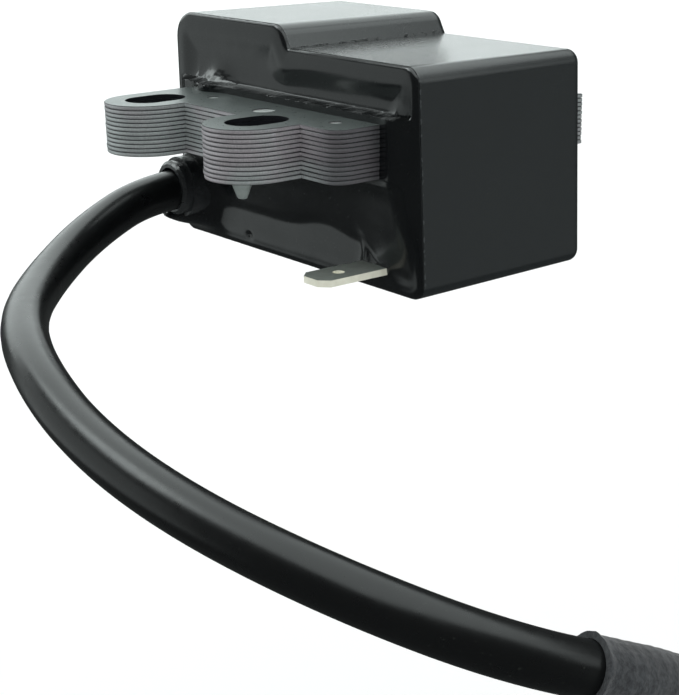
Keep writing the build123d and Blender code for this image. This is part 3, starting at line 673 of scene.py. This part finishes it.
skin_core_low = core_low - Vector((1, 0, 1)) * core_clear * mm
skin_core_high = core_high + Vector((1, 0, 1)) * core_clear * mm
rim = walk(rim_loop(), skin_step)[:-1]
rim_flat = np.array([(p.x, p.z) for p in rim])
spine_z = (core_low.z + core_high.z) / 2
rim_jitter = [noise.noise(p * 1400) for p in rim]


def inset_of(points):
    """How far each point lies inside the rim."""
    along = np.roll(rim_flat, -1, axis=0) - rim_flat
    reach = points[:, None, :] - rim_flat[None, :, :]
    share = np.clip((reach * along).sum(2) / (along * along).sum(1), 0, 1)
    return np.linalg.norm(reach - share[:, :, None] * along, axis=2).min(1)


def skin_ring(share):
    """A ring of points of the mouth's plane, that share of the way from the rim to the spine."""
    ring = []
    for p, jitter in zip(rim, rim_jitter):
        target = Vector((min(max(p.x, spine_left), spine_right), p.y, spine_z))
        moved = p + (target - p) * share
        ring.append(moved + (target - p).normalized() * (0.05 + 0.05 * jitter) * mm)
    return ring


skin_ring_list = []
for number in range(skin_rings + 1):
    ring = skin_ring(skin_inner_share * (number / skin_rings) ** 1.3)
    insets = inset_of(np.array([(p.x, p.z) for p in ring])) / mm
    if number == 0:
        insets *= 0
    skin_ring_list.append([
        Vector((p.x, mouth_y - skin_height(p.x / mm, p.z / mm, inset) * mm, p.z))
        for p, inset in zip(ring, insets)
    ])
for inner in (skin_ring(skin_inner_share), skin_ring(0.06), skin_ring(0.012)):
    skin_ring_list.append([Vector((p.x, mouth_y + skin_back, p.z)) for p in inner])
resin_skin = add_object("resin_skin", ring_mesh("resin_skin", skin_ring_list))

epoxy = Finish("potting_resin", IOR=1.52, Specular_IOR_Level=0.55)
epoxy_cloud = epoxy.noise(5.0 * mm, 3.0)
dust = epoxy.step(epoxy.noise(0.32 * mm, 2.0), 0.70, 0.76)
epoxy.feed(
    Base_Color=epoxy.blend(
        epoxy_cloud * 0.6 + dust * 0.4, (0.0022, 0.0028, 0.0034), (0.0060, 0.0078, 0.0085)),
    Roughness=0.16 + epoxy_cloud * 0.10 + dust * 0.2,
)
epoxy.relief(epoxy.noise(2.4 * mm, 2.0), 0.010 * mm)
epoxy.on(resin_skin, nodes["potting_resin"])
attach(resin_skin, "root")


# ---- lead socket ----
# A turned plastic tube with a thinner lip, cemented into the cup before the resin is poured,
# so that the resin wets it and leaves it glossy.
socket_plastic = Finish("lead_socket", IOR=1.5, Specular_IOR_Level=0.6)
wetting = socket_plastic.noise(1.3 * mm, 3.0)
socket_plastic.feed(
    Base_Color=socket_plastic.blend(wetting, (0.008, 0.009, 0.010), (0.022, 0.025, 0.026)),
    Roughness=0.12 + wetting * 0.2,
)
socket_plastic.relief(wetting, 0.16 * mm)
socket_plastic.on(nodes["lead_socket"])


# ---- stop tab ----
# A blade cut from tin-plated steel strip, with cropped corners and a punched hole. The cut
# edges are warmer than the dulled plating on its faces, and a painted highlight makes them
# much brighter.
tab_tin = Finish("tinned_steel", IOR=1.5)
tab_face = tab_tin.step(tab_tin.flatness(), 0.6, 0.9)
tab_stain = tab_tin.noise(1.1 * mm, 4.0)
tab_lines = tab_tin.noise(0.16 * mm, 2.0, stretch=(1.0, 0.12, 1.0))
# Painted highlight on the cut edges, over their warmer bare-steel colour.
cut_edge_and_highlight = tab_tin.blend(tab_stain, (0.95, 0.97, 0.84), (0.66, 0.66, 0.53))
tab_plating = tab_tin.blend(tab_stain, (0.52, 0.57, 0.52), (0.34, 0.38, 0.35))
tab_tin.feed(
    Base_Color=tab_tin.blend(tab_face, cut_edge_and_highlight, tab_plating),
    Roughness=0.34 + tab_lines * 0.2,
    Metallic=0.2 + tab_face * 0.45,
)
tab_tin.relief(tab_lines * 0.5 + tab_stain * 0.5, 0.03 * mm)
tab_tin.on(nodes["stop_tab"])


# ---- coils ----
# Natural nylon bobbins, wound with enamelled copper wire: thick on the primary, hair-fine in
# the secondary's chambers. All of it is hidden in the resin.
nylon = Finish("bobbin_nylon", IOR=1.53)
nylon_cloud = nylon.noise(2.5 * mm, 3.0)
nylon.feed(
    Base_Color=nylon.blend(nylon_cloud, (0.62, 0.57, 0.44), (0.74, 0.70, 0.58)),
    Roughness=0.42 + nylon_cloud * 0.15,
)
nylon.relief(nylon.noise(0.3 * mm, 2.0), 0.01 * mm)
nylon.on(nodes["primary_bobbin"], nodes["secondary_bobbin"], nodes["charge_bobbin"])

coil_wires = {
    "primary_winding": (0.42 * mm, (0.58, 0.22, 0.09)),
    "secondary_winding": (0.12 * mm, (0.50, 0.15, 0.07)),
    "charge_winding": (0.20 * mm, (0.55, 0.24, 0.08)),
}
for winding, (wire_pitch, enamel) in coil_wires.items():
    wire = Finish(winding, IOR=1.55)
    turns = wire.maths_of("SINE", wire.axis("Y") * (2 * math.pi / wire_pitch)) * 0.5 + 0.5
    layer = wire.noise(1.5 * mm, 3.0)
    groove = tuple(channel * 0.35 for channel in enamel)
    wire.feed(
        Base_Color=wire.blend(turns * 0.7 + layer * 0.3, groove, enamel),
        Roughness=0.25 + layer * 0.2,
        Metallic=0.7 + layer * 0.2,
    )
    wire.relief(turns, wire_pitch * 0.3)
    wire.on(nodes[winding])


# ---- electronics ----
# A glass-epoxy board with the storage capacitor, the thyristor, the diodes and the resistors
# soldered to it. The resin hides them too.
electronics = {
    "circuit_board": ((0.02, 0.10, 0.045), (0.05, 0.18, 0.08), 0.35, 0.5 * mm),
    "storage_capacitor": ((0.30, 0.05, 0.02), (0.45, 0.10, 0.04), 0.18, 1.5 * mm),
    "thyristor": ((0.012, 0.012, 0.013), (0.03, 0.03, 0.032), 0.45, 0.4 * mm),
    "diodes": ((0.010, 0.010, 0.011), (0.028, 0.028, 0.03), 0.30, 0.8 * mm),
    "resistors": ((0.50, 0.36, 0.18), (0.62, 0.48, 0.28), 0.25, 0.9 * mm),
}
for component, (deep, pale, roughness, cloud_size) in electronics.items():
    body = Finish(component, IOR=1.5)
    cloud = body.noise(cloud_size, 3.0)
    body.feed(Base_Color=body.blend(cloud, deep, pale), Roughness=roughness + cloud * 0.15)
    body.relief(cloud, 0.02 * mm)
    body.on(nodes[component])


# ---- floor ----
# A wide pale studio floor, under the lowest point of the plug boot.
floor_z = cad_low.z - 3 * mm


def flat_card(name, centre, across, up, facing=None):
    """A flat rectangle of that size round its centre, turned to face a point."""
    turn = Quaternion() if facing is None else (facing - centre).to_track_quat("Z", "Y")
    corners = [(-across, -up), (across, -up), (across, up), (-across, up)]
    board = bpy.data.meshes.new(name)
    places = [centre + turn @ Vector((x / 2, y / 2, 0)) for x, y in corners]
    board.from_pydata(places, [], [(0, 1, 2, 3)])
    card = add_object(name, board)
    return card


floor = flat_card("floor", Vector((0, 0, floor_z)), 14.0, 14.0)
floor_paint = Finish("floor", Roughness=0.8, Specular_IOR_Level=0.2)
floor_cloud = floor_paint.noise(0.4, 2.0)
floor_paint.feed(Base_Color=floor_paint.blend(floor_cloud, (0.92, 0.92, 0.92), (0.95, 0.95, 0.95)))
floor_paint.on(floor)
floor.visible_glossy = False


# ---- light ----
# Even white light from all round for the dull surfaces. What the glossy ones mirror is a dark
# room with a soft panel low behind the coil, one overhead, a small key and pale bounce cards.
world = bpy.data.worlds.new("studio")
world.use_nodes = True
world.node_tree.nodes["Background"].inputs["Color"].default_value = (1, 1, 1, 1)
world.node_tree.nodes["Background"].inputs["Strength"].default_value = 1.0
bpy.context.scene.world = world
coil_middle = Vector((4, 15, 3)) * mm


def compass(azimuth, elevation):
    """The direction of that many degrees round from +Y towards +X, and up."""
    across = math.cos(math.radians(elevation))
    return Vector((
        math.sin(math.radians(azimuth)) * across,
        math.cos(math.radians(azimuth)) * across,
        math.sin(math.radians(elevation)),
    ))


def glow(name, strength):
    """A paint that only shines, evenly, by that much."""
    paint = Finish(name, Roughness=1.0, Specular_IOR_Level=0.0)
    paint.shader.inputs["Base Color"].default_value = (0, 0, 0, 1)
    paint.shader.inputs["Emission Color"].default_value = (0.92, 1.0, 0.99, 1)
    paint.shader.inputs["Emission Strength"].default_value = strength
    return paint


def only_mirrored(card, strength):
    """Lights a card by that much for glossy surfaces alone."""
    glow(card.name, strength).on(card)
    card.visible_camera = False
    card.visible_diffuse = False
    card.visible_shadow = False


def panel(name, way, distance, across, up):
    """A soft panel in that direction from the coil, turned to face it."""
    return flat_card(name, coil_middle + way * distance, across, up, coil_middle)


room_shell = bmesh.new()
bmesh.ops.create_icosphere(room_shell, subdivisions=4, radius=3.0)
bmesh.ops.reverse_faces(room_shell, faces=room_shell.faces)
room_mesh = bpy.data.meshes.new("dark_room")
room_shell.to_mesh(room_mesh)
dark_room = add_object("dark_room", room_mesh)
only_mirrored(dark_room, 0.07)
back_panel = panel("back_panel", compass(-73, 25), 1.5, 1.8, 1.15)
glow("back_panel", 2.0).on(back_panel)
back_panel.visible_camera = False
only_mirrored(panel("top_panel", compass(0, 86), 1.5, 3.0, 3.0), 1.9)
only_mirrored(panel("left_key", compass(-126, 48), 1.5, 0.7, 0.5), 5.5)
only_mirrored(panel("right_panel", compass(50, 36), 1.4, 0.5, 0.45), 1.6)
only_mirrored(panel("left_bounce", compass(-130, 1), 1.4, 1.4, 1.2), 0.66)
only_mirrored(panel("right_bounce", compass(53, -18), 1.4, 0.9, 0.9), 0.27)
only_mirrored(panel("flank_bounce", compass(52, 16), 1.4, 0.5, 0.4), 1.2)
flag_corner = Vector((1.5 * mm, 5.8 * mm, case_high.z + 0.3 * mm))
flag_size = Vector((0.0, case_high.y - flag_corner.y, 32 * mm))
flag_middle = flag_corner + flag_size / 2
flag_faces = flag_middle + Vector((1, 0, 0))
only_mirrored(flat_card("top_flag", flag_middle, flag_size.z, flag_size.y, flag_faces), 0.55)
